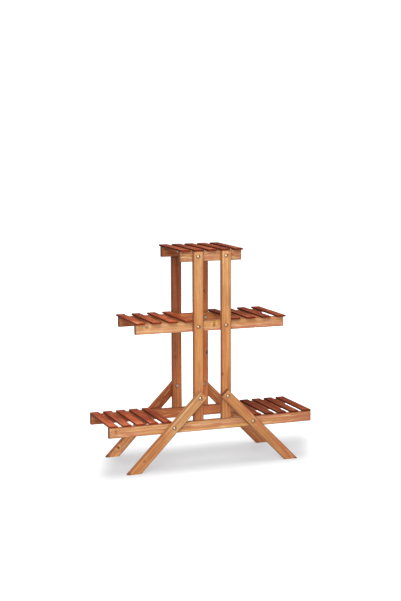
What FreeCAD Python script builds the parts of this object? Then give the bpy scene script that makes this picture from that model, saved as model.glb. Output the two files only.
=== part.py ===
import FreeCAD, Part
import math
import os

from FreeCAD import Vector

# Tiered plant stand: two flat wooden frames, front and rear, joined by the slats of three shelves.
# +Z is up and the front faces -Y. The origin is on the floor, in the middle under the stand.
# Each frame has two upright posts, three rails on edge and two splayed legs, all bolted.
# The posts stand on the lower rail. The middle and top rails lie against the posts' inner faces.
# The legs lie flat on the outer faces of the posts and the lower rail, and brace them.

# ---- Driving sizes, in millimetres ----

# Timber
board_thickness = 18.0      # posts, rails and legs, measured front to rear
board_edge_radius = 1.2     # the four long edges are eased
post_width = 38.0
rail_height = 39.0
leg_width = 38.0
slat_width = 35.0
slat_thickness = 7.0
slat_edge_radius = 2.0

# Overall layout
slat_length = 260.0         # from the outer face of the front posts to that of the rear posts
post_spacing = 112.0        # left to right, between the posts' centre lines
lower_shelf_height = 186.0  # top of the slats above the floor
middle_shelf_height = 564.0
top_shelf_height = 828.0

# Rails and slats of each shelf
lower_rail_length = 820.0
middle_rail_length = 597.0
top_rail_length = 246.0
lower_slats_per_side = 5
middle_slats_per_side = 4
top_slats = 5
lower_slat_gap = 17.5       # between neighbouring slats, counted inwards from the rail end
middle_slat_overhang = 2.5  # past the rail ends
slat_post_gap = 2.0         # between the innermost middle slat and the post beside it

# Legs
leg_angle = 45.5            # degrees from the floor
leg_bolt_height = 268.0     # where the leg is bolted to the post
leg_rail_bolt_height = 162.5  # where it is bolted to the lower rail
leg_end_margin = 18.0       # wood above that bolt, along the leg

# Bolts with a domed head, a washer and a hexagon nut
bolt_diameter = 6.0
bolt_head_diameter = 12.0
bolt_head_height = 3.4
bolt_head_rim = 0.8         # straight edge of the head, under the dome
bolt_end_chamfer = 0.6
bolt_end_showing = 2.0      # past the nut
bolt_hole_clearance = 0.25  # all round the bolt
washer_diameter = 12.0
washer_thickness = 1.5
nut_across_flats = 10.0
nut_thickness = 5.0
nut_chamfer_angle = 30.0    # degrees, between the cone that rounds the corners and the nut's face
thread_clearance = 0.1      # all round the bolt, in the nut and the washer

# Nails, two through each slat into each rail
nail_diameter = 1.8
nail_length = 20.0
nail_head_diameter = 3.4
nail_head_thickness = 0.8
nail_point_length = 2.0
nail_spread = 10.0          # from the slat's centre line to each nail
nail_clearance = 0.05       # all round the nail
nail_point_room = 0.2       # left free under the point

# ---- Planes and places that follow from them ----

outer_face = slat_length / 2                    # of the posts and of the lower rails
inner_face = outer_face - board_thickness       # where the middle and top rails lie
leg_face = outer_face + board_thickness
post_reach = post_spacing / 2 + post_width / 2  # outer side of a post
rail_drop = slat_thickness + rail_height        # from a shelf's top to the underside of its rails
leg_slope = math.tan(math.radians(leg_angle))
leg_rail_bolt_x = post_spacing / 2 + (leg_bolt_height - leg_rail_bolt_height) / leg_slope
joint_thickness = 2 * board_thickness           # every bolt clamps two boards

sides = {"left": -1, "right": 1}
faces = {"front": -1, "rear": 1}


# ---- Helpers ----

def eased(block, grain, radius):
    """The board with the four edges that run along its grain rounded."""
    edges = []
    for edge in block.Edges:
        run = edge.Vertexes[1].Point - edge.Vertexes[0].Point
        if run.cross(grain).Length < 0.001 * run.Length:
            edges.append(edge)
    return block.makeFillet(radius, edges)


def box_between(x_range, y_range, z_range):
    """A block given by its two limits along each axis, in either order."""
    low = Vector(min(x_range), min(y_range), min(z_range))
    high = Vector(max(x_range), max(y_range), max(z_range))
    size = high - low
    return Part.makeBox(size.x, size.y, size.z, low)


def rod(radius, length, start, direction):
    return Part.makeCylinder(radius, length, start, direction)


def bored(board, holes):
    """The board with the given cylinders taken out of it."""
    return board.cut(holes) if holes else board


def turned(profile):
    """A solid of revolution about Z from a list of edges that closes on the axis."""
    face = Part.Face(Part.Wire(profile))
    return face.revolve(Vector(0, 0, 0), Vector(0, 0, 1), 360)


def outward(solid, face, x, z, y):
    """A fastener made along +Z, laid down so that +Z points out of the given face."""
    placed = solid.copy()
    placed.rotate(Vector(0, 0, 0), Vector(1, 0, 0), -90 * face)
    placed.translate(Vector(x, y * face, z))
    return placed


def save(name, shape):
    shape.exportStep("parts/" + name + ".step")
    print(name, "solids", len(shape.Solids), "volume", round(shape.Volume, 1))


# ---- Where the bolts go ----

def shelf_bolts(shelf_height):
    """X and Z of the two bolts that hold one middle or top rail to its posts."""
    z = shelf_height - slat_thickness - rail_height / 2
    return [(side * post_spacing / 2, z) for side in sides.values()]


def leg_bolts(side):
    """X and Z of the bolts through one leg: first the post's, then the lower rail's."""
    upper = (side * post_spacing / 2, leg_bolt_height)
    lower = (side * leg_rail_bolt_x, leg_rail_bolt_height)
    return [upper, lower]


def bolt_holes(places):
    """Holes right through the frame, front to rear, at the given places."""
    radius = bolt_diameter / 2 + bolt_hole_clearance
    holes = []
    for x, z in places:
        holes.append(rod(radius, 2 * leg_face, Vector(x, -leg_face, z), Vector(0, 1, 0)))
    return holes


# ---- Where the slats and nails go ----

def lower_slat_places():
    """Centre X of the lower slats on the right, from the rail end inwards."""
    first = lower_rail_length / 2 - slat_width / 2
    pitch = slat_width + lower_slat_gap
    return [first - pitch * index for index in range(lower_slats_per_side)]


def middle_slat_places():
    """Centre X of the middle slats on the right, spread evenly from the rail end to the post."""
    first = middle_rail_length / 2 + middle_slat_overhang - slat_width / 2
    last = post_reach + slat_post_gap + slat_width / 2
    pitch = (first - last) / (middle_slats_per_side - 1)
    return [first - pitch * index for index in range(middle_slats_per_side)]


def top_slat_places():
    """Centre X of the top slats, spread evenly with the end slats flush with the rail ends."""
    first = -top_rail_length / 2 + slat_width / 2
    pitch = (top_rail_length - slat_width) / (top_slats - 1)
    return [first + pitch * index for index in range(top_slats)]


def both_sides(places):
    return [side * x for side in sides.values() for x in places]


def nail_places(slat_x, rail_middle):
    """X and Y of the four nails in one slat, two over each rail."""
    places = []
    for x in (slat_x - nail_spread, slat_x + nail_spread):
        for face in faces.values():
            places.append((x, face * rail_middle))
    return places


def nail_bores(slat_x, rail_middle, shelf_height):
    """Room for the four nails of one slat: shank, head and a little under the point."""
    bores = []
    shank_radius = nail_diameter / 2 + nail_clearance
    head_radius = nail_head_diameter / 2 + nail_clearance
    down = Vector(0, 0, -1)
    for x, y in nail_places(slat_x, rail_middle):
        top = Vector(x, y, shelf_height)
        bores.append(rod(shank_radius, nail_length + nail_point_room, top, down))
        bores.append(rod(head_radius, nail_head_thickness, top, down))
    return bores


def rail_nail_bores(slat_places, rail_middle, shelf_height):
    bores = []
    for slat_x in slat_places:
        bores += nail_bores(slat_x, rail_middle, shelf_height)
    return bores


# ---- Boards ----

def make_post(side, face):
    x = side * post_spacing / 2
    foot = lower_shelf_height - slat_thickness
    head = top_shelf_height - slat_thickness
    x_range = (x - post_width / 2, x + post_width / 2)
    post = box_between(x_range, (face * outer_face, face * inner_face), (foot, head))
    post = eased(post, Vector(0, 0, 1), board_edge_radius)
    places = shelf_bolts(top_shelf_height) + shelf_bolts(middle_shelf_height) + leg_bolts(side)[:1]
    return bored(post, bolt_holes(places))


def make_rail(face, outside, length, shelf_height, bolts, slat_places):
    """A rail on edge under a shelf. Its outer face is at the given distance from the middle."""
    inside = outside - board_thickness
    x_range = (-length / 2, length / 2)
    z_range = (shelf_height - rail_drop, shelf_height - slat_thickness)
    rail = box_between(x_range, (face * outside, face * inside), z_range)
    rail = eased(rail, Vector(1, 0, 0), board_edge_radius)
    bores = rail_nail_bores(slat_places, (outside + inside) / 2, shelf_height)
    return bored(rail, bolt_holes(bolts) + bores)


def make_leg(side, face):
    """A flat splayed leg, square at the top and cut level at the floor."""
    angle = math.radians(leg_angle)
    along = Vector(side * math.cos(angle), 0, -math.sin(angle))
    across = Vector(side * math.sin(angle), 0, math.cos(angle))
    bolt = Vector(side * post_spacing / 2, 0, leg_bolt_height)
    end = bolt - along * leg_end_margin
    corners = []
    for half in (leg_width / 2, -leg_width / 2):
        top = end + across * half
        foot = top + along * (top.z / math.sin(angle))
        corners.append((top, foot))
    outline = [corners[0][0], corners[0][1], corners[1][1], corners[1][0], corners[0][0]]
    start = min(face * outer_face, face * leg_face)
    sheet = Part.Face(Part.makePolygon(outline))
    sheet.translate(Vector(0, start, 0))
    leg = eased(sheet.extrude(Vector(0, board_thickness, 0)), along, board_edge_radius)
    return bored(leg, bolt_holes(leg_bolts(side)))


def make_slat(slat_x, rail_middle, shelf_height):
    x_range = (slat_x - slat_width / 2, slat_x + slat_width / 2)
    z_range = (shelf_height - slat_thickness, shelf_height)
    slat = box_between(x_range, (-slat_length / 2, slat_length / 2), z_range)
    slat = eased(slat, Vector(0, 1, 0), slat_edge_radius)
    return bored(slat, nail_bores(slat_x, rail_middle, shelf_height))


# ---- Fasteners, each made once along +Z with its seat at the origin ----

def make_bolt():
    """Domed head above the origin, shank below it."""
    shank = bolt_diameter / 2
    head = bolt_head_diameter / 2
    length = joint_thickness + washer_thickness + nut_thickness + bolt_end_showing
    dome_rise = bolt_head_height - bolt_head_rim
    dome_radius = (head ** 2 + dome_rise ** 2) / (2 * dome_rise)
    half_turn = math.asin(head / dome_radius) / 2
    middle = Vector(dome_radius * math.sin(half_turn), 0, 0)
    middle.z = bolt_head_height - dome_radius * (1 - math.cos(half_turn))
    points = [Vector(0, 0, bolt_head_height), Vector(0, 0, -length)]
    points.append(Vector(shank - bolt_end_chamfer, 0, -length))
    points.append(Vector(shank, 0, -length + bolt_end_chamfer))
    points.append(Vector(shank, 0, 0))
    points.append(Vector(head, 0, 0))
    points.append(Vector(head, 0, bolt_head_rim))
    profile = [Part.makeLine(start, end) for start, end in zip(points, points[1:])]
    profile.append(Part.Arc(points[-1], middle, points[0]).toShape())
    return turned(profile)


def make_washer():
    """Lies below the origin, against the inner board."""
    hole = rod(bolt_diameter / 2 + thread_clearance, washer_thickness, Vector(0, 0, 0), Vector(0, 0, -1))
    disc = rod(washer_diameter / 2, washer_thickness, Vector(0, 0, 0), Vector(0, 0, -1))
    return disc.cut(hole)


def make_nut():
    """Hexagon below the origin, with its corners taken off by a cone at the free end."""
    corner = nut_across_flats / math.sqrt(3)
    outline = []
    for index in range(7):
        turn = math.radians(60 * index)
        outline.append(Vector(corner * math.cos(turn), corner * math.sin(turn), 0))
    block = Part.Face(Part.makePolygon(outline)).extrude(Vector(0, 0, -nut_thickness))
    rim = nut_across_flats / 2
    cone_top = rim + nut_thickness / math.tan(math.radians(nut_chamfer_angle))
    cone = Part.makeCone(cone_top, rim, nut_thickness, Vector(0, 0, 0), Vector(0, 0, -1))
    hole = rod(bolt_diameter / 2 + thread_clearance, nut_thickness, Vector(0, 0, 0), Vector(0, 0, -1))
    return block.common(cone).cut(hole)


def make_nail():
    """Flat head with its top at the origin, shank and point below it."""
    shank = nail_diameter / 2
    head = nail_head_diameter / 2
    points = [Vector(0, 0, 0), Vector(0, 0, -nail_length)]
    points.append(Vector(shank, 0, -nail_length + nail_point_length))
    points.append(Vector(shank, 0, -nail_head_thickness))
    points.append(Vector(head, 0, -nail_head_thickness))
    points.append(Vector(head, 0, 0))
    points.append(points[0])
    return turned([Part.makeLine(start, end) for start, end in zip(points, points[1:])])


def bolted_joints():
    """Every bolted joint as face, X, Z and the distance of its outer face from the middle."""
    joints = []
    for face in faces.values():
        for x, z in shelf_bolts(top_shelf_height) + shelf_bolts(middle_shelf_height):
            joints.append((face, x, z, outer_face))
        for side in sides.values():
            for x, z in leg_bolts(side):
                joints.append((face, x, z, leg_face))
    return joints


# ---- Build ----

def build_frames():
    lower_bolts = [leg_bolts(side)[1] for side in sides.values()]
    lower_slats = both_sides(lower_slat_places())
    middle_slats = both_sides(middle_slat_places())
    for face_name, face in faces.items():
        lower = make_rail(face, outer_face, lower_rail_length, lower_shelf_height, lower_bolts, lower_slats)
        save("lower_rail_" + face_name, lower)
        bolts = shelf_bolts(middle_shelf_height)
        middle = make_rail(face, inner_face, middle_rail_length, middle_shelf_height, bolts, middle_slats)
        save("middle_rail_" + face_name, middle)
        bolts = shelf_bolts(top_shelf_height)
        top = make_rail(face, inner_face, top_rail_length, top_shelf_height, bolts, top_slat_places())
        save("top_rail_" + face_name, top)
        for side_name, side in sides.items():
            save("post_" + face_name + "_" + side_name, make_post(side, face))
            save("leg_" + face_name + "_" + side_name, make_leg(side, face))


def build_slats():
    lower_middle = (outer_face + inner_face) / 2
    upper_middle = inner_face - board_thickness / 2
    for side_name, side in sides.items():
        for index, x in enumerate(lower_slat_places(), start=1):
            slat = make_slat(side * x, lower_middle, lower_shelf_height)
            save("lower_slat_" + side_name + "_" + str(index), slat)
        for index, x in enumerate(middle_slat_places(), start=1):
            slat = make_slat(side * x, upper_middle, middle_shelf_height)
            save("middle_slat_" + side_name + "_" + str(index), slat)
    for index, x in enumerate(top_slat_places(), start=1):
        save("top_slat_" + str(index), make_slat(x, upper_middle, top_shelf_height))


def build_bolts():
    bolt = make_bolt()
    washer = make_washer()
    nut = make_nut()
    bolts = []
    washers = []
    nuts = []
    for face, x, z, outside in bolted_joints():
        seat = outside - joint_thickness
        bolts.append(outward(bolt, face, x, z, outside))
        washers.append(outward(washer, face, x, z, seat))
        nuts.append(outward(nut, face, x, z, seat - washer_thickness))
    save("frame_bolts", Part.makeCompound(bolts))
    save("bolt_washers", Part.makeCompound(washers))
    save("bolt_nuts", Part.makeCompound(nuts))


def build_nails():
    lower_middle = (outer_face + inner_face) / 2
    upper_middle = inner_face - board_thickness / 2
    nail = make_nail()
    shelves = [
        ("lower_slat_nails", both_sides(lower_slat_places()), lower_middle, lower_shelf_height),
        ("middle_slat_nails", both_sides(middle_slat_places()), upper_middle, middle_shelf_height),
        ("top_slat_nails", top_slat_places(), upper_middle, top_shelf_height),
    ]
    for name, slat_places, rail_middle, shelf_height in shelves:
        nails = []
        for slat_x in slat_places:
            for x, y in nail_places(slat_x, rail_middle):
                nails.append(nail.translated(Vector(x, y, shelf_height)))
        save(name, Part.makeCompound(nails))


os.makedirs("parts", exist_ok=True)
build_frames()
build_slats()
build_bolts()
build_nails()
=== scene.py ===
import bpy
import math
import random
from mathutils import Matrix, Vector


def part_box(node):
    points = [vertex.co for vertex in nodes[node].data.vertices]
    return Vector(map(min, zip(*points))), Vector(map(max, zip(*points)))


# Three-tier slatted stand in stained pine, with zinc plated bolts and plain wire nails.
# Every shape comes from the frame. This script gives the boards and the metal their finish,
# and sets up the floor, the lights and the camera. Lengths are in metres unless a name says otherwise.
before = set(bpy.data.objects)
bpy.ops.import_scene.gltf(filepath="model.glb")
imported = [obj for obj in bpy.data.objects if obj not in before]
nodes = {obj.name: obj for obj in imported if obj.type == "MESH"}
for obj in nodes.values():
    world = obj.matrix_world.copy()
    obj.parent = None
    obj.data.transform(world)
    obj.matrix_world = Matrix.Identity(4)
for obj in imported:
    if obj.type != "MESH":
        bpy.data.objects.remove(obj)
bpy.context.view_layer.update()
mm = 0.001
print("frame loaded,", len(nodes), "pieces")


def hexColour(code):
    # sRGB hex to the linear colour that the shaders want
    channels = [int(code[i:i + 2], 16) / 255 for i in (1, 3, 5)]
    linear = [c / 12.92 if c <= 0.04045 else ((c + 0.055) / 1.055) ** 2.4 for c in channels]
    return (*linear, 1.0)


def addNode(tree, kind, settings=None, **links):
    # one shader node with its settings; each link sets an input, named or given as in0, in1, to a value
    # or to another node's output
    node = tree.nodes.new(kind)
    for name, value in (settings or {}).items():
        setattr(node, name, value)
    for name, value in links.items():
        numbered = name.startswith("in") and name[2:].isdigit()
        socket = node.inputs[int(name[2:]) if numbered else name]
        if isinstance(value, bpy.types.NodeSocket):
            tree.links.new(value, socket)
        else:
            socket.default_value = value
    return node


def calc(tree, operation, first, second=0.0, clamp=False):
    settings = {"operation": operation, "use_clamp": clamp}
    return addNode(tree, "ShaderNodeMath", settings, in0=first, in1=second).outputs[0]


def between(tree, value, start, end, low=0.0, high=1.0):
    # goes smoothly from low to high while the value goes from start to end
    return addNode(tree, "ShaderNodeMapRange", {"interpolation_type": "SMOOTHSTEP"}, in0=value,
                   in1=start, in2=end, in3=low, in4=high).outputs[0]


def blend(tree, share, first, second):
    return addNode(tree, "ShaderNodeMix", {"data_type": "RGBA"}, in0=share, in6=first, in7=second).outputs[2]


def spread(tree, first, second):
    # distance from a line, given the two distances across it
    squares = [calc(tree, "MULTIPLY", side, side) for side in (first, second)]
    return calc(tree, "SQRT", calc(tree, "ADD", squares[0], squares[1]))


def alongAxis(tree, vector, axis):
    return addNode(tree, "ShaderNodeVectorMath", {"operation": "DOT_PRODUCT"},
                   in0=vector, in1=axis).outputs["Value"]


def newMaterial(name):
    material = bpy.data.materials.new(name)
    material.use_nodes = True
    tree = material.node_tree
    tree.nodes.clear()
    shader = addNode(tree, "ShaderNodeBsdfPrincipled")
    addNode(tree, "ShaderNodeOutputMaterial", in0=shader.outputs[0])
    return material, tree, shader


def useMaterial(nodeName, material):
    slots = nodes[nodeName].data.materials
    if len(slots) == 0:
        slots.append(material)
    for index in range(len(slots)):
        slots[index] = material


# Pine, sawn, planed and stained, with one thin coat of satin varnish. The stain took unevenly, so long
# honey, ochre and rose streaks run along each board. Painted shade darkens it along the edges and round
# the bolts, and it is darker beside the ends.
stainedPine = {
    "ringSpacingMm": 9.0,         # real rings are 2 to 4 mm apart: drawn coarser, so that they show
    "ringWaverMm": 9.0,           # how far the rings wander across the board
    "ringRise": (0.25, 0.80),     # late wood darkens slowly through a ring
    "ringFall": (0.86, 1.0),      # and ends quickly
    "pithAside": 1.1,             # how far to the side the middle of the trunk may lie, in half widths
    "pithOffMm": (20.0, 45.0),    # and how far off across its thickness, on either side
    "lateShare": 0.6,             # how strongly the late wood shows
    "boardLevel": 0.10,           # how much lighter or darker a board may be that levelOf doesn't name
    "noiseReach": 40.0,           # how far apart the boards take their patterns from the noise
    "streakFollow": 0.35,         # how much a single streak follows the rings' wander
    "streakCore": 0.15,           # a single streak is full up to this share of its width from its middle
    "streakEdge": 0.65,           # and gone at this share
    "streakEndMm": 12.0,          # how softly it starts and ends
    "sideFacing": (0.55, 0.80),   # narrow faces, and how much painted shade, their own darker tone, they get
    "sideShare": 0.8,
    "edgeDarkMm": (3.4, 0.3),     # painted shade along an edge: from and to this far inside
    "edgeShare": 0.8,
    "endDarkMm": (5.0, 0.5),      # darker beside an end, from and to this far inside
    "endShare": 0.7,
    "endFacing": (0.55, 0.65),
    "endRings": 0.5,              # how strongly the rings show in the end grain
    "knotShare": 0.9,
    "boltRingMm": (6.0, 10.5),    # painted shade ring round a bolt: inner and outer radius
    "boltRingShare": 0.75,
    "roughness": 0.37,
    "fibreRoughness": 0.14,       # rougher on the fibres
    "endRoughness": 0.2,          # and on the end grain
    "specular": 0.18,             # thin varnish, less of a mirror than plastic or glass
    "slatSpecular": 0.03,         # the slats are open-pored and duller
    "reliefMm": 0.25,
    "reliefStrength": 0.35,
}

# Patterns in the grain: millimetres along and across it, an offset that keeps any two from coinciding, and
# the noise's detail and roughness. Lines and fibres are drawn coarser than real ones, which are about 1 mm
# and under 0.1 mm wide, so that they show at this distance.
grainPatterns = {
    "waver": (260.0, 60.0, 3.0, 2.0, 0.5),     # slow wander of the rings
    "fray": (300.0, 12.0, 9.0, 2.0, 0.5),      # keeps the rings from running true
    "ochre": (420.0, 11.0, 17.0, 3.0, 0.55),   # long colour streaks
    "rose": (330.0, 15.0, 23.0, 2.0, 0.5),
    "patch": (75.0, 8.0, 53.0, 3.0, 0.6),      # short pale patches
    "blotch": (150.0, 60.0, 41.0, 2.0, 0.5),   # where the stain took deeper
    "fibre": (50.0, 1.6, 29.0, 2.0, 0.6),      # fine fibres
    "line": (380.0, 3.2, 31.0, 1.0, 0.5),      # thin brown lines
}

# How those patterns bring in a tone: from and to which value of the noise, and how much of it
stainLayers = {
    "ochre": {"from": 0.42, "to": 0.60, "share": 1.0, "tone": "ochre"},
    "rose": {"from": 0.47, "to": 0.62, "share": 0.85, "tone": "rose"},
    "patch": {"from": 0.52, "to": 0.64, "share": 0.3, "tone": "pale"},
    "blotch": {"from": 0.48, "to": 0.75, "share": 0.45, "tone": "deep"},
    "fibre": {"from": 0.45, "to": 0.70, "share": 0.45, "tone": "deep"},
    "line": {"from": 0.60, "to": 0.68, "share": 0.65, "tone": "deep"},
}

# What is different on a kind of board: more pale patches on rails and legs, fewer lines on the front boards,
# more fibres and lines on the slats
layerChanges = {
    "frontPost": {"line": {"share": 0.5}},
    "frontRail": {"line": {"share": 0.5}, "patch": {"share": 0.75}},
    "rearRail": {"patch": {"share": 0.75}},
    "frontLeg": {"line": {"share": 0.5}, "patch": {"share": 0.5}},
    "rearLeg": {"patch": {"share": 0.5}},
    "slat": {"line": {"from": 0.56, "share": 0.7}, "fibre": {"share": 0.5}},
}

# Tones of the stain: pale to late in the grain, deep where it soaked in, edge and side for the painted
# shade on the rims and the narrow faces, and end for the end grain. The rear posts and rails are darker with
# painted shade, and the slats are redder.
rearShadedTones = {
    "pale": "#C1794E", "honey": "#B06B3E", "ochre": "#AD6B3C", "rose": "#A55A3A", "late": "#905130",
    "deep": "#6F381F", "edge": "#563222", "side": "#854B30", "end": "#6C3F28", "knot": "#32180F",
}
tonesOf = {
    "frontPost": {
        "pale": "#BA9162", "honey": "#B07B48", "ochre": "#B07A42", "rose": "#A86647", "late": "#985A31",
        "deep": "#7C4020", "edge": "#643927", "side": "#905533", "end": "#6A3E26", "knot": "#411F11",
    },
    "frontRail": {
        "pale": "#BE9F77", "honey": "#AE815B", "ochre": "#B0864A", "rose": "#A66653", "late": "#96603F",
        "deep": "#7C4529", "edge": "#623B2A", "side": "#8C593B", "end": "#674028", "knot": "#3F2012",
    },
    "frontLeg": {
        "pale": "#B39163", "honey": "#AA7446", "ochre": "#AC7944", "rose": "#A15B3E", "late": "#915832",
        "deep": "#783E20", "edge": "#5E3828", "side": "#A0673E", "end": "#693E29", "knot": "#422114",
    },
    "rearLeg": {
        "pale": "#DB9E69", "honey": "#B27147", "ochre": "#AF6E3F", "rose": "#A45D3D", "late": "#965330",
        "deep": "#682F15", "edge": "#5C3323", "side": "#9A5832", "end": "#6E3D27", "knot": "#37180C",
    },
    "slat": {
        "pale": "#C2774B", "honey": "#94492A", "ochre": "#914723", "rose": "#873923", "late": "#773019",
        "deep": "#501B0B", "edge": "#48190D", "side": "#44160A", "end": "#682814", "knot": "#371106",
    },
    "rearPost": rearShadedTones,
    "rearRail": rearShadedTones,
}

# How light a board is against its kind. Some levels are painted light and shade: the middle front rail is
# lighter against the shade of the slats over it, and the lower and middle slats are lighter on the left and
# darker on the right.
levelOf = {
    "post_front_left": 0.95, "post_front_right": 0.98, "post_rear_left": 0.86, "post_rear_right": 1.08,
    "leg_front_left": 1.02, "leg_front_right": 0.96, "leg_rear_left": 1.05,
    "lower_rail_front": 1.12, "middle_rail_front": 1.12, "top_rail_front": 1.0,
    "lower_rail_rear": 1.06, "middle_rail_rear": 1.06, "top_rail_rear": 0.78,
    "lower_slat_left_1": 1.4, "lower_slat_left_2": 1.25, "lower_slat_left_3": 1.45,
    "lower_slat_left_4": 1.4, "lower_slat_left_5": 1.2,
    "lower_slat_right_1": 0.85, "lower_slat_right_2": 0.75, "lower_slat_right_3": 0.74,
    "lower_slat_right_4": 0.66, "lower_slat_right_5": 0.7,
    "middle_slat_left_1": 1.25, "middle_slat_left_2": 1.15, "middle_slat_left_3": 1.35,
    "middle_slat_left_4": 1.3,
    "middle_slat_right_1": 0.95, "middle_slat_right_2": 0.85, "middle_slat_right_3": 0.9,
    "middle_slat_right_4": 0.8,
    "top_slat_1": 1.0, "top_slat_2": 0.85, "top_slat_3": 0.98, "top_slat_4": 0.88, "top_slat_5": 0.8,
}

# The marks that show on single boards. Distances are in millimetres from the board's middle: along it is up
# a post, to the right on a rail, down a leg and to the rear on a slat, and across it is up on a rail and to
# the right on a post or a leg.
# Fades, where a board pales or darkens: the tone, from and to which distance, and how much
fadesOf = {
    # the front posts pale towards their tops with painted light
    "post_front_left": [("pale", -20, 230, 0.85), ("late", -215, -250, 1.0)],
    "post_front_right": [("pale", -60, 230, 0.85)],
    # the rear posts darken towards their tops with painted shade
    "post_rear_left": [("deep", 5, 60, 1.0)],
    "post_rear_right": [("deep", 40, 140, 0.45)],
    "leg_front_left": [("pale", 40, -60, 0.7)],
    # the rear left leg darkens towards its top with painted shade
    "leg_rear_left": [("deep", 40, -40, 1.0)],
    "lower_rail_front": [("late", -160, -330, 0.5), ("late", 200, 330, 0.4), ("deep", 390, 404, 0.5)],
    "lower_rail_rear": [("late", 20, -60, 0.8), ("pale", 30, 70, 0.3)],
    "middle_rail_front": [("late", 60, 200, 0.4), ("pale", -30, -120, 0.3)],
    # the middle rear rail darkens at its left end with painted shade
    "middle_rail_rear": [("deep", -170, -250, 0.6)],
    "top_rail_front": [("late", -25, -65, 0.95), ("late", 40, 72, 0.95)],
    "top_rail_rear": [("deep", 0, -70, 0.6)],
    # the slats darken towards the rear with painted shade and pale towards the front with painted light
    "middle_slat_left_1": [("deep", -50, 110, 0.6), ("pale", -50, -110, 1.0)],
    "slat": [("deep", -50, 110, 0.6), ("pale", -50, -128, 0.35)],
}

# Single streaks: the tone, distance across, width, from and to which distance along, and how much
streaksOf = {
    "post_front_left": [("deep", -10, 3, 45, 400, 0.6), ("rose", -14, 5, 60, 400, 0.35),
                        ("late", 0, 9, -185, -90, 0.5), ("ochre", 5, 8, -110, 30, 0.6)],
    "post_front_right": [("ochre", 10, 7, 100, 260, 0.7), ("late", 0, 4, 110, 290, 0.4),
                         ("deep", -17, 3, -150, -100, 0.5)],
    "lower_rail_front": [("deep", 3, 4, 205, 420, 0.55), ("late", -1, 12, 320, 400, 0.6),
                         ("pale", 3, 9, -85, 0, 0.8), ("ochre", 2, 10, -330, -255, 0.8),
                         ("ochre", 4, 7, -185, -140, 0.7)],
    "top_rail_front": [("ochre", 4, 8, -108, -80, 0.7)],
    "leg_front_left": [("ochre", 8, 8, -130, -40, 0.6)],
    # the wide pale streak on the lower rear left leg is painted light
    "leg_rear_left": [("pale", 0, 60, 40, 400, 1.0)],
}

# Knots: distance along, distance across, size, how long they are against their height, and how dark
knotsOf = {
    "leg_rear_left": [(156, -9, 7, 0.8, 1.0)],
    "leg_front_left": [(136, -4, 4, 1.4, 0.7)],
    "lower_rail_front": [(-384, 6, 8, 0.8, 0.65)],
    "middle_rail_front": [(-254, 9, 6, 1.2, 0.55), (13, 1, 17, 0.35, 0.6)],
    "post_rear_right": [(139, 0, 6, 1.4, 0.7), (-106, 13, 9, 1.4, 0.8)],
    "post_rear_left": [(-117, -8, 5, 1.4, 0.6)],
    "post_front_right": [(-148, -16, 4, 2.0, 0.8)],
}

# A knot's form, with radii as shares of its size. The rings bend round it, and it has a dark core and a
# weaker halo, which share its darkness.
knotForm = {
    "bendMm": 10.0, "bend": (0.5, 3.2),
    "core": (0.3, 0.7), "coreShare": 0.7,
    "halo": (0.6, 1.5), "haloShare": 0.3,
}

# How the legs are cut, which their boxes don't tell
legCut = {"angle": 45.5, "widthMm": 38.0}

print("making the boards' finish")


def boltPlaces():
    # x, y and z of every bolt's dome top, read from the frame: heads stand proud of the posts and the legs
    faces = [abs(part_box(name)[0].y) for name in ("post_front_left", "leg_front_left")]
    headHeight = abs(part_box("frame_bolts")[0].y) - faces[1]
    near = 0.01 * mm
    tops = set()
    for corner in nodes["frame_bolts"].data.vertices:
        if min(abs(abs(corner.co.y) - face - headHeight) for face in faces) < near:
            tops.add(tuple(round(value, 4) for value in corner.co))
    return sorted(tops)


bolts = boltPlaces()
print("bolts found,", len(bolts))


def boardKind(name):
    # slat, or front or rear with post, rail or leg; nothing for the metal
    words = name.split("_")
    if words[-1] in ("bolts", "washers", "nuts", "nails"):
        return None
    if "slat" in words:
        return "slat"
    place = "rear" if "rear" in words else "front"
    return place + next(word for word in words if word in ("post", "rail", "leg")).capitalize()


def boardAxes(name):
    # centre, grain, width and thickness directions and half sizes of a board, from its box in the frame
    low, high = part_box(name)
    centre = (low + high) / 2
    half = (high - low) / 2
    x, y, z = Vector((1, 0, 0)), Vector((0, 1, 0)), Vector((0, 0, 1))
    kind = boardKind(name)
    if kind.endswith("Post"):
        return centre, (z, x, y), (half.z, half.x, half.y)
    if kind.endswith("Rail"):
        return centre, (x, z, y), (half.x, half.z, half.y)
    if kind.endswith("Leg"):
        side = -1 if name.endswith("left") else 1
        angle = math.radians(legCut["angle"])
        down = Vector((side * math.cos(angle), 0, -math.sin(angle)))
        up = Vector((side * math.sin(angle), 0, math.cos(angle)))
        halfWidth = legCut["widthMm"] * mm / 2
        # the box's middle lies off the leg's centre line, because the foot is cut level
        centre = centre - up * halfWidth * math.cos(angle) ** 2
        return centre, (down, down.cross(y), y), (half.z / math.sin(angle), halfWidth, half.y)
    return centre, (y, x, z), (half.y, half.x, half.z)


def grainNoise(tree, local, seed, length, width, offset, detail, roughness):
    # noise whose patches are length mm along the grain and width mm across it
    scaled = addNode(tree, "ShaderNodeMapping", {"vector_type": "POINT"}, Vector=local,
                     Location=(seed + offset, seed - offset, offset),
                     Scale=(1 / (length * mm), 1 / (width * mm), 1 / (width * mm))).outputs[0]
    return addNode(tree, "ShaderNodeTexNoise", {"noise_dimensions": "3D"}, Vector=scaled,
                   Scale=1.0, Detail=detail, Roughness=roughness).outputs[0]


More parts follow.
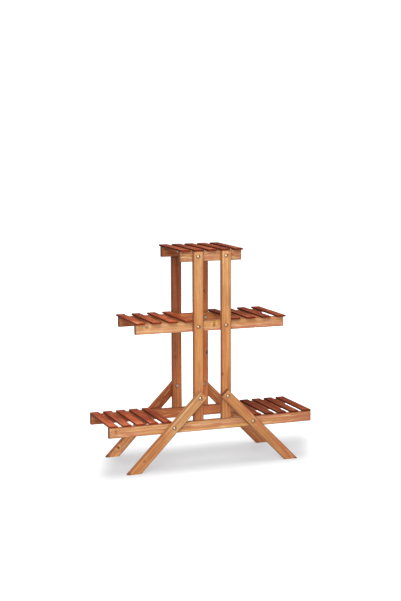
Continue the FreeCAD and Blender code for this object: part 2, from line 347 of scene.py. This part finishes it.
def knotSpots(tree, board, along, across):
    # how far the board's knots push the rings outwards, and how dark they are
    bend = 0.0
    dark = 0.0
    for knotAlong, knotAcross, size, stretch, darkness in knotsOf.get(board, ()):
        distance = spread(tree, calc(tree, "DIVIDE", calc(tree, "SUBTRACT", along, knotAlong * mm), stretch),
                          calc(tree, "SUBTRACT", across, knotAcross * mm))
        radii = {part: [share * size * mm for share in knotForm[part]] for part in ("bend", "core", "halo")}
        bend = calc(tree, "ADD", bend, between(tree, distance, *radii["bend"], knotForm["bendMm"] * mm, 0.0))
        core = between(tree, distance, *radii["core"], darkness * knotForm["coreShare"], 0.0)
        halo = between(tree, distance, *radii["halo"], darkness * knotForm["haloShare"], 0.0)
        dark = calc(tree, "MAXIMUM", dark, calc(tree, "ADD", core, halo))
    return bend, dark


def lateWood(tree, across, deep, pith, waver, bend, fray, values):
    # share of dark late wood, from growth rings round a pith that lies outside the board
    aside = calc(tree, "ADD", calc(tree, "SUBTRACT", across, pith[0]), waver)
    radius = spread(tree, aside, calc(tree, "SUBTRACT", deep, pith[1]))
    radius = calc(tree, "ADD", radius, bend)
    turns = calc(tree, "ADD", calc(tree, "DIVIDE", radius, values["ringSpacingMm"] * mm), fray)
    phase = calc(tree, "FRACT", turns)
    rise = between(tree, phase, *values["ringRise"])
    fall = between(tree, phase, *values["ringFall"], 1.0, 0.0)
    return calc(tree, "MULTIPLY", rise, fall)


def stainColour(tree, kind, name, colour, tones, grain):
    # one of the grain's patterns brings in its tone
    layer = {**stainLayers[name], **layerChanges.get(kind, {}).get(name, {})}
    share = between(tree, grain[name], layer["from"], layer["to"], 0.0, layer["share"])
    return blend(tree, share, colour, tones[layer["tone"]])


def fadeColour(tree, board, kind, colour, tones, along):
    for tone, start, end, share in fadesOf.get(board, fadesOf.get(kind, ())):
        if start < end:
            fade = between(tree, along, start * mm, end * mm, 0.0, share)
        else:
            fade = between(tree, along, end * mm, start * mm, share, 0.0)
        colour = blend(tree, fade, colour, tones[tone])
    return colour


def streakColour(tree, board, colour, tones, along, across, waver, values):
    follow = calc(tree, "ADD", across, calc(tree, "MULTIPLY", waver, values["streakFollow"]))
    core, edge, soft = values["streakCore"], values["streakEdge"], values["streakEndMm"]
    for tone, middle, width, start, end, share in streaksOf.get(board, ()):
        aside = calc(tree, "ABSOLUTE", calc(tree, "SUBTRACT", follow, middle * mm))
        streak = between(tree, aside, width * core * mm, width * edge * mm, share, 0.0)
        begun = between(tree, along, (start - soft) * mm, (start + soft) * mm)
        lasting = between(tree, along, (end - soft) * mm, (end + soft) * mm, 1.0, 0.0)
        streak = calc(tree, "MULTIPLY", streak, calc(tree, "MULTIPLY", begun, lasting))
        colour = blend(tree, streak, colour, tones[tone])
    return colour


def shadedRimColour(tree, colour, tones, distances, halves, values):
    # painted shade along the edges of the broad and narrow faces, and darker beside the ends
    def rim(index, depths, share):
        inside = halves[index]
        return between(tree, calc(tree, "ABSOLUTE", distances[index]), inside - depths[0] * mm,
                       inside - depths[1] * mm, 0.0, share)

    edge = calc(tree, "MULTIPLY", rim(1, values["edgeDarkMm"], 1.0), rim(2, values["edgeDarkMm"], 1.0))
    edge = calc(tree, "MULTIPLY", edge, values["edgeShare"])
    end = rim(0, values["endDarkMm"], values["endShare"])
    return blend(tree, calc(tree, "MAXIMUM", edge, end), colour, tones["edge"])


def boltShadeColour(tree, board, colour, tones, place, values):
    # painted shade rings round the bolts that go through the board
    low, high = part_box(board)
    boardY = (low.y + high.y) / 2
    placeX, _, placeZ = addNode(tree, "ShaderNodeSeparateXYZ", in0=place).outputs[:3]
    inner, outer = values["boltRingMm"]
    for x, y, z in bolts:
        if low.x < x < high.x and low.z < z < high.z and y * boardY > 0:
            distance = spread(tree, calc(tree, "SUBTRACT", placeX, x), calc(tree, "SUBTRACT", placeZ, z))
            ring = between(tree, distance, inner * mm, outer * mm, values["boltRingShare"], 0.0)
            colour = blend(tree, ring, colour, tones["edge"])
    return colour


def pineMaterial(board, kind, values):
    material, tree, shader = newMaterial("stained pine " + board)
    centre, axes, halves = boardAxes(board)
    dice = random.Random(board)
    seed = dice.uniform(-values["noiseReach"], values["noiseReach"])
    level = levelOf.get(board, 1 + dice.uniform(-1, 1) * values["boardLevel"])
    tones = {}
    for name, code in tonesOf[kind].items():
        red, green, blue, _ = hexColour(code)
        tones[name] = (red * level, green * level, blue * level, 1.0)

    # the spot in the frame's directions, and from the board's middle in its own
    place = addNode(tree, "ShaderNodeTexCoord").outputs["Object"]
    turn = Matrix(axes).transposed().to_euler()
    local = addNode(tree, "ShaderNodeMapping", {"vector_type": "TEXTURE"},
                    Vector=place, Location=centre, Rotation=turn).outputs[0]
    distances = addNode(tree, "ShaderNodeSeparateXYZ", in0=local).outputs[:3]
    along, across, deep = distances

    grain = {name: grainNoise(tree, local, seed, *pattern) for name, pattern in grainPatterns.items()}
    # the noise runs from 0 to 1, so the rings wander to both sides of its middle
    waver = calc(tree, "SUBTRACT", grain["waver"], 0.5)
    waver = calc(tree, "MULTIPLY", waver, values["ringWaverMm"] * mm * 2)
    bend, knotDark = knotSpots(tree, board, along, across)
    pithNear, pithFar = values["pithOffMm"]
    pith = (dice.uniform(-values["pithAside"], values["pithAside"]) * halves[1],
            dice.choice((-1, 1)) * dice.uniform(pithNear * mm, pithFar * mm))
    late = lateWood(tree, across, deep, pith, waver, bend, grain["fray"], values)

    colour = tones["honey"]
    for name in ("ochre", "rose"):
        colour = stainColour(tree, kind, name, colour, tones, grain)
    colour = fadeColour(tree, board, kind, colour, tones, along)
    colour = streakColour(tree, board, colour, tones, along, across, waver, values)
    colour = stainColour(tree, kind, "patch", colour, tones, grain)
    colour = blend(tree, calc(tree, "MULTIPLY", late, values["lateShare"]), colour, tones["late"])
    for name in ("blotch", "fibre", "line"):
        colour = stainColour(tree, kind, name, colour, tones, grain)

    # narrow faces and rims darkened with painted shade, end grain, knots, and painted shade rings round the
    # bolts
    normal = addNode(tree, "ShaderNodeTexCoord").outputs["Normal"]
    endFacing, sideFacing = [calc(tree, "ABSOLUTE", alongAxis(tree, normal, axis)) for axis in axes[:2]]
    side = between(tree, sideFacing, *values["sideFacing"], 0.0, values["sideShare"])
    colour = blend(tree, side, colour, tones["side"])
    colour = shadedRimColour(tree, colour, tones, distances, halves, values)
    endGrain = between(tree, endFacing, *values["endFacing"])
    endRings = calc(tree, "MULTIPLY", late, values["endRings"])
    colour = blend(tree, endGrain, colour, blend(tree, endRings, tones["end"], tones["edge"]))
    if board in knotsOf:
        colour = blend(tree, calc(tree, "MINIMUM", knotDark, values["knotShare"]), colour, tones["knot"])
    if kind != "slat":
        colour = boltShadeColour(tree, board, colour, tones, place, values)
    tree.links.new(colour, shader.inputs["Base Color"])

    rough = calc(tree, "MULTIPLY", grain["fibre"], values["fibreRoughness"])
    rough = calc(tree, "ADD", rough, values["roughness"])
    endRough = calc(tree, "MULTIPLY", endGrain, values["endRoughness"])
    tree.links.new(calc(tree, "ADD", rough, endRough, clamp=True), shader.inputs["Roughness"])
    specular = values["slatSpecular" if kind == "slat" else "specular"]
    shader.inputs["Specular IOR Level"].default_value = specular
    relief = calc(tree, "MULTIPLY", calc(tree, "ADD", late, grain["fibre"]), 0.5)
    bump = addNode(tree, "ShaderNodeBump", Strength=values["reliefStrength"],
                   Distance=values["reliefMm"] * mm, Height=relief)
    tree.links.new(bump.outputs[0], shader.inputs["Normal"])
    return material


for name in sorted(nodes):
    kind = boardKind(name)
    if kind is not None:
        useMaterial(name, pineMaterial(name, kind, stainedPine))

# Zinc plated steel with a pale yellow passivation, a little mottled by the bath: small cream domes that
# catch the light
zincSteel = {"colour": "#C4B094", "dull": "#957D60", "mottleMm": 3.0, "roughness": (0.30, 0.48)}
# The washers and nuts have the same plating without the passivation, paler and duller
plainZincSteel = {"colour": "#DACBBA", "dull": "#A8998A", "mottleMm": 3.0, "roughness": (0.47, 0.65)}
# Drawn wire nails, dull and browner than the bolts, so that they hardly show on the slats
wireSteel = {"colour": "#8E7560", "dull": "#5E4A3B", "mottleMm": 1.2, "roughness": (0.37, 0.55)}


def steelMaterial(name, values):
    material, tree, shader = newMaterial(name)
    place = addNode(tree, "ShaderNodeTexCoord").outputs["Object"]
    mottle = addNode(tree, "ShaderNodeTexNoise", Vector=place, Scale=1 / (values["mottleMm"] * mm),
                     Detail=2.0).outputs[0]
    colour = blend(tree, mottle, hexColour(values["colour"]), hexColour(values["dull"]))
    tree.links.new(colour, shader.inputs["Base Color"])
    smooth, rough = values["roughness"]
    rough = addNode(tree, "ShaderNodeMapRange", in0=mottle, in3=smooth, in4=rough).outputs[0]
    tree.links.new(rough, shader.inputs["Roughness"])
    shader.inputs["Metallic"].default_value = 1.0
    return material


useMaterial("frame_bolts", steelMaterial("zinc plated steel", zincSteel))
plainZinc = steelMaterial("plain zinc plated steel", plainZincSteel)
wire = steelMaterial("drawn wire steel", wireSteel)
for name in ("bolt_washers", "bolt_nuts"):
    useMaterial(name, plainZinc)
for name in ("lower_slat_nails", "middle_slat_nails", "top_slat_nails"):
    useMaterial(name, wire)
print("finishes done")

# White matt floor, so bright that only the band right under the stand shows grey. The band is painted
# shadow, a darker floor colour with a weaker glow over the real shadow of the stand, even grey and leaning
# to the right towards the rear.
floorValues = {
    "half": 14.0,
    "colour": "#BEBFC1",
    "roughness": 0.9,
    "shadowColour": "#7C7C7E",     # painted shadow: the floor's darker colour in the band
    "shadowGlow": 0.46,            # glow that evens the painted shadow out
    "nearGlow": 0.46,              # light beyond it that only the camera sees and that burns out to white
    "farGlow": 1.0,                # the same, far from the softboxes
    "farFrom": (0.6, 1.6),         # between which distances the one turns into the other
    "shadowMiddle": (0.035, 0.0, 0.0),
    "shadowHalf": (0.37, 0.08),    # the band is even up to here from its middle, sideways and lengthways
    "shadowReach": (0.51, 0.34),   # and gone here
    "shadowSlant": 0.45,           # how far it leans to the right for each metre to the rear
    "glowColour": "#FFFFFF",
}


def floorMaterial(values):
    material, tree, shader = newMaterial("matt white floor")
    place = addNode(tree, "ShaderNodeTexCoord").outputs["Object"]
    place = addNode(tree, "ShaderNodeVectorMath", {"operation": "SUBTRACT"}, in0=place,
                    in1=values["shadowMiddle"]).outputs[0]
    shares = []
    for axis, half, reach in zip(((1, -values["shadowSlant"], 0), (0, 1, 0)),
                                 values["shadowHalf"], values["shadowReach"]):
        aside = calc(tree, "ABSOLUTE", alongAxis(tree, place, axis))
        shares.append(between(tree, aside, half, reach, 1.0, 0.0))
    shadow = calc(tree, "MULTIPLY", shares[0], shares[1])
    colour = blend(tree, shadow, hexColour(values["colour"]), hexColour(values["shadowColour"]))
    tree.links.new(colour, shader.inputs["Base Color"])
    away = addNode(tree, "ShaderNodeVectorMath", {"operation": "LENGTH"}, in0=place).outputs["Value"]
    beyond = between(tree, away, *values["farFrom"], values["nearGlow"], values["farGlow"])
    seen = addNode(tree, "ShaderNodeLightPath").outputs["Is Camera Ray"]
    beyond = calc(tree, "MULTIPLY", seen, beyond)
    glow = addNode(tree, "ShaderNodeMapRange", in0=shadow, in3=beyond, in4=values["shadowGlow"]).outputs[0]
    tree.links.new(glow, shader.inputs["Emission Strength"])
    shader.inputs["Emission Color"].default_value = hexColour(values["glowColour"])
    shader.inputs["Roughness"].default_value = values["roughness"]
    shader.inputs["Specular IOR Level"].default_value = 0.0
    return material


floorHalf = floorValues["half"]
floorCorners = [(x * floorHalf, y * floorHalf, 0) for x, y in ((-1, -1), (1, -1), (1, 1), (-1, 1))]
floorMesh = bpy.data.meshes.new("floor")
floorMesh.from_pydata(floorCorners, [], [(0, 1, 2, 3)])
floorMesh.materials.append(floorMaterial(floorValues))
floor = bpy.data.objects.new("floor", floorMesh)
bpy.context.scene.collection.objects.link(floor)

# White surround: light from all round, what the camera sees of it, and what glossy faces mirror of it, as
# between dark screens
surroundValues = {"light": 0.42, "seen": 1.1, "mirrored": 0.20, "colour": "#FFFFFF"}
world = bpy.data.worlds.new("white surround")
bpy.context.scene.world = world
world.use_nodes = True
worldTree = world.node_tree
worldTree.nodes.clear()
rays = addNode(worldTree, "ShaderNodeLightPath").outputs
strength = addNode(worldTree, "ShaderNodeMapRange", in0=rays["Is Glossy Ray"], in3=surroundValues["light"],
                   in4=surroundValues["mirrored"]).outputs[0]
strength = addNode(worldTree, "ShaderNodeMapRange", in0=rays["Is Camera Ray"], in3=strength,
                   in4=surroundValues["seen"]).outputs[0]
background = addNode(worldTree, "ShaderNodeBackground", Color=hexColour(surroundValues["colour"]),
                     Strength=strength)
addNode(worldTree, "ShaderNodeOutputWorld", in0=background.outputs[0])

# Key: large softbox in front, high up and to the left. Low: in front, for what the shelves shade. Overhead:
# soft light from straight above. Right and back: so that those sides aren't dull. Nothing mirrors these two.
softboxes = {
    "key softbox": {"power": 150.0, "size": 1.8, "place": (-1.5, -3.2, 2.7), "aimHeight": 0.4,
                    "mirrored": True},
    "low softbox": {"power": 50.0, "size": 1.6, "place": (-1.2, -3.4, 0.8), "aimHeight": 0.3,
                    "mirrored": True},
    "overhead softbox": {"power": 70.0, "size": 2.6, "place": (0.0, 0.0, 3.2), "aimHeight": 0.0,
                         "mirrored": True},
    "right softbox": {"power": 60.0, "size": 1.8, "place": (3.4, -0.6, 1.5), "aimHeight": 0.4,
                      "mirrored": False},
    "back softbox": {"power": 110.0, "size": 2.2, "place": (0.6, 3.6, 1.9), "aimHeight": 0.4,
                     "mirrored": False},
}
for name, values in softboxes.items():
    lamp = bpy.data.lights.new(name, "AREA")
    lamp.shape = "SQUARE"
    lamp.size = values["size"]
    lamp.energy = values["power"]
    box = bpy.data.objects.new(name, lamp)
    box.location = values["place"]
    aim = Vector((0, 0, values["aimHeight"])) - Vector(values["place"])
    box.rotation_euler = aim.to_track_quat("-Z", "Y").to_euler()
    box.visible_camera = False
    box.visible_glossy = values["mirrored"]
    bpy.context.scene.collection.objects.link(box)
print("floor and light done")

# Camera, from a fit of the boards' edges to the photograph. Angles in degrees.
cameraValues = {
    "place": (-1.7261, -4.5776, 1.2869),
    "turn": 20.664,       # to the right of straight on
    "tilt": 7.783,        # down
    "roll": -0.18,
    "lens": 76.99,
    "sensor": 36.0,       # along the photograph's long side
}
cameraData = bpy.data.cameras.new("camera")
cameraData.lens = cameraValues["lens"]
cameraData.sensor_width = cameraValues["sensor"]
cameraData.sensor_fit = "AUTO"
camera = bpy.data.objects.new("camera", cameraData)
camera.location = cameraValues["place"]
turned = Matrix.Rotation(-math.radians(cameraValues["turn"]), 4, "Z")
tilted = Matrix.Rotation(math.radians(90 - cameraValues["tilt"]), 4, "X")
rolled = Matrix.Rotation(math.radians(cameraValues["roll"]), 4, "Z")
camera.rotation_euler = (turned @ tilted @ rolled).to_euler()
bpy.context.scene.collection.objects.link(camera)
bpy.context.scene.camera = camera
bpy.context.scene.view_settings.view_transform = "Standard"
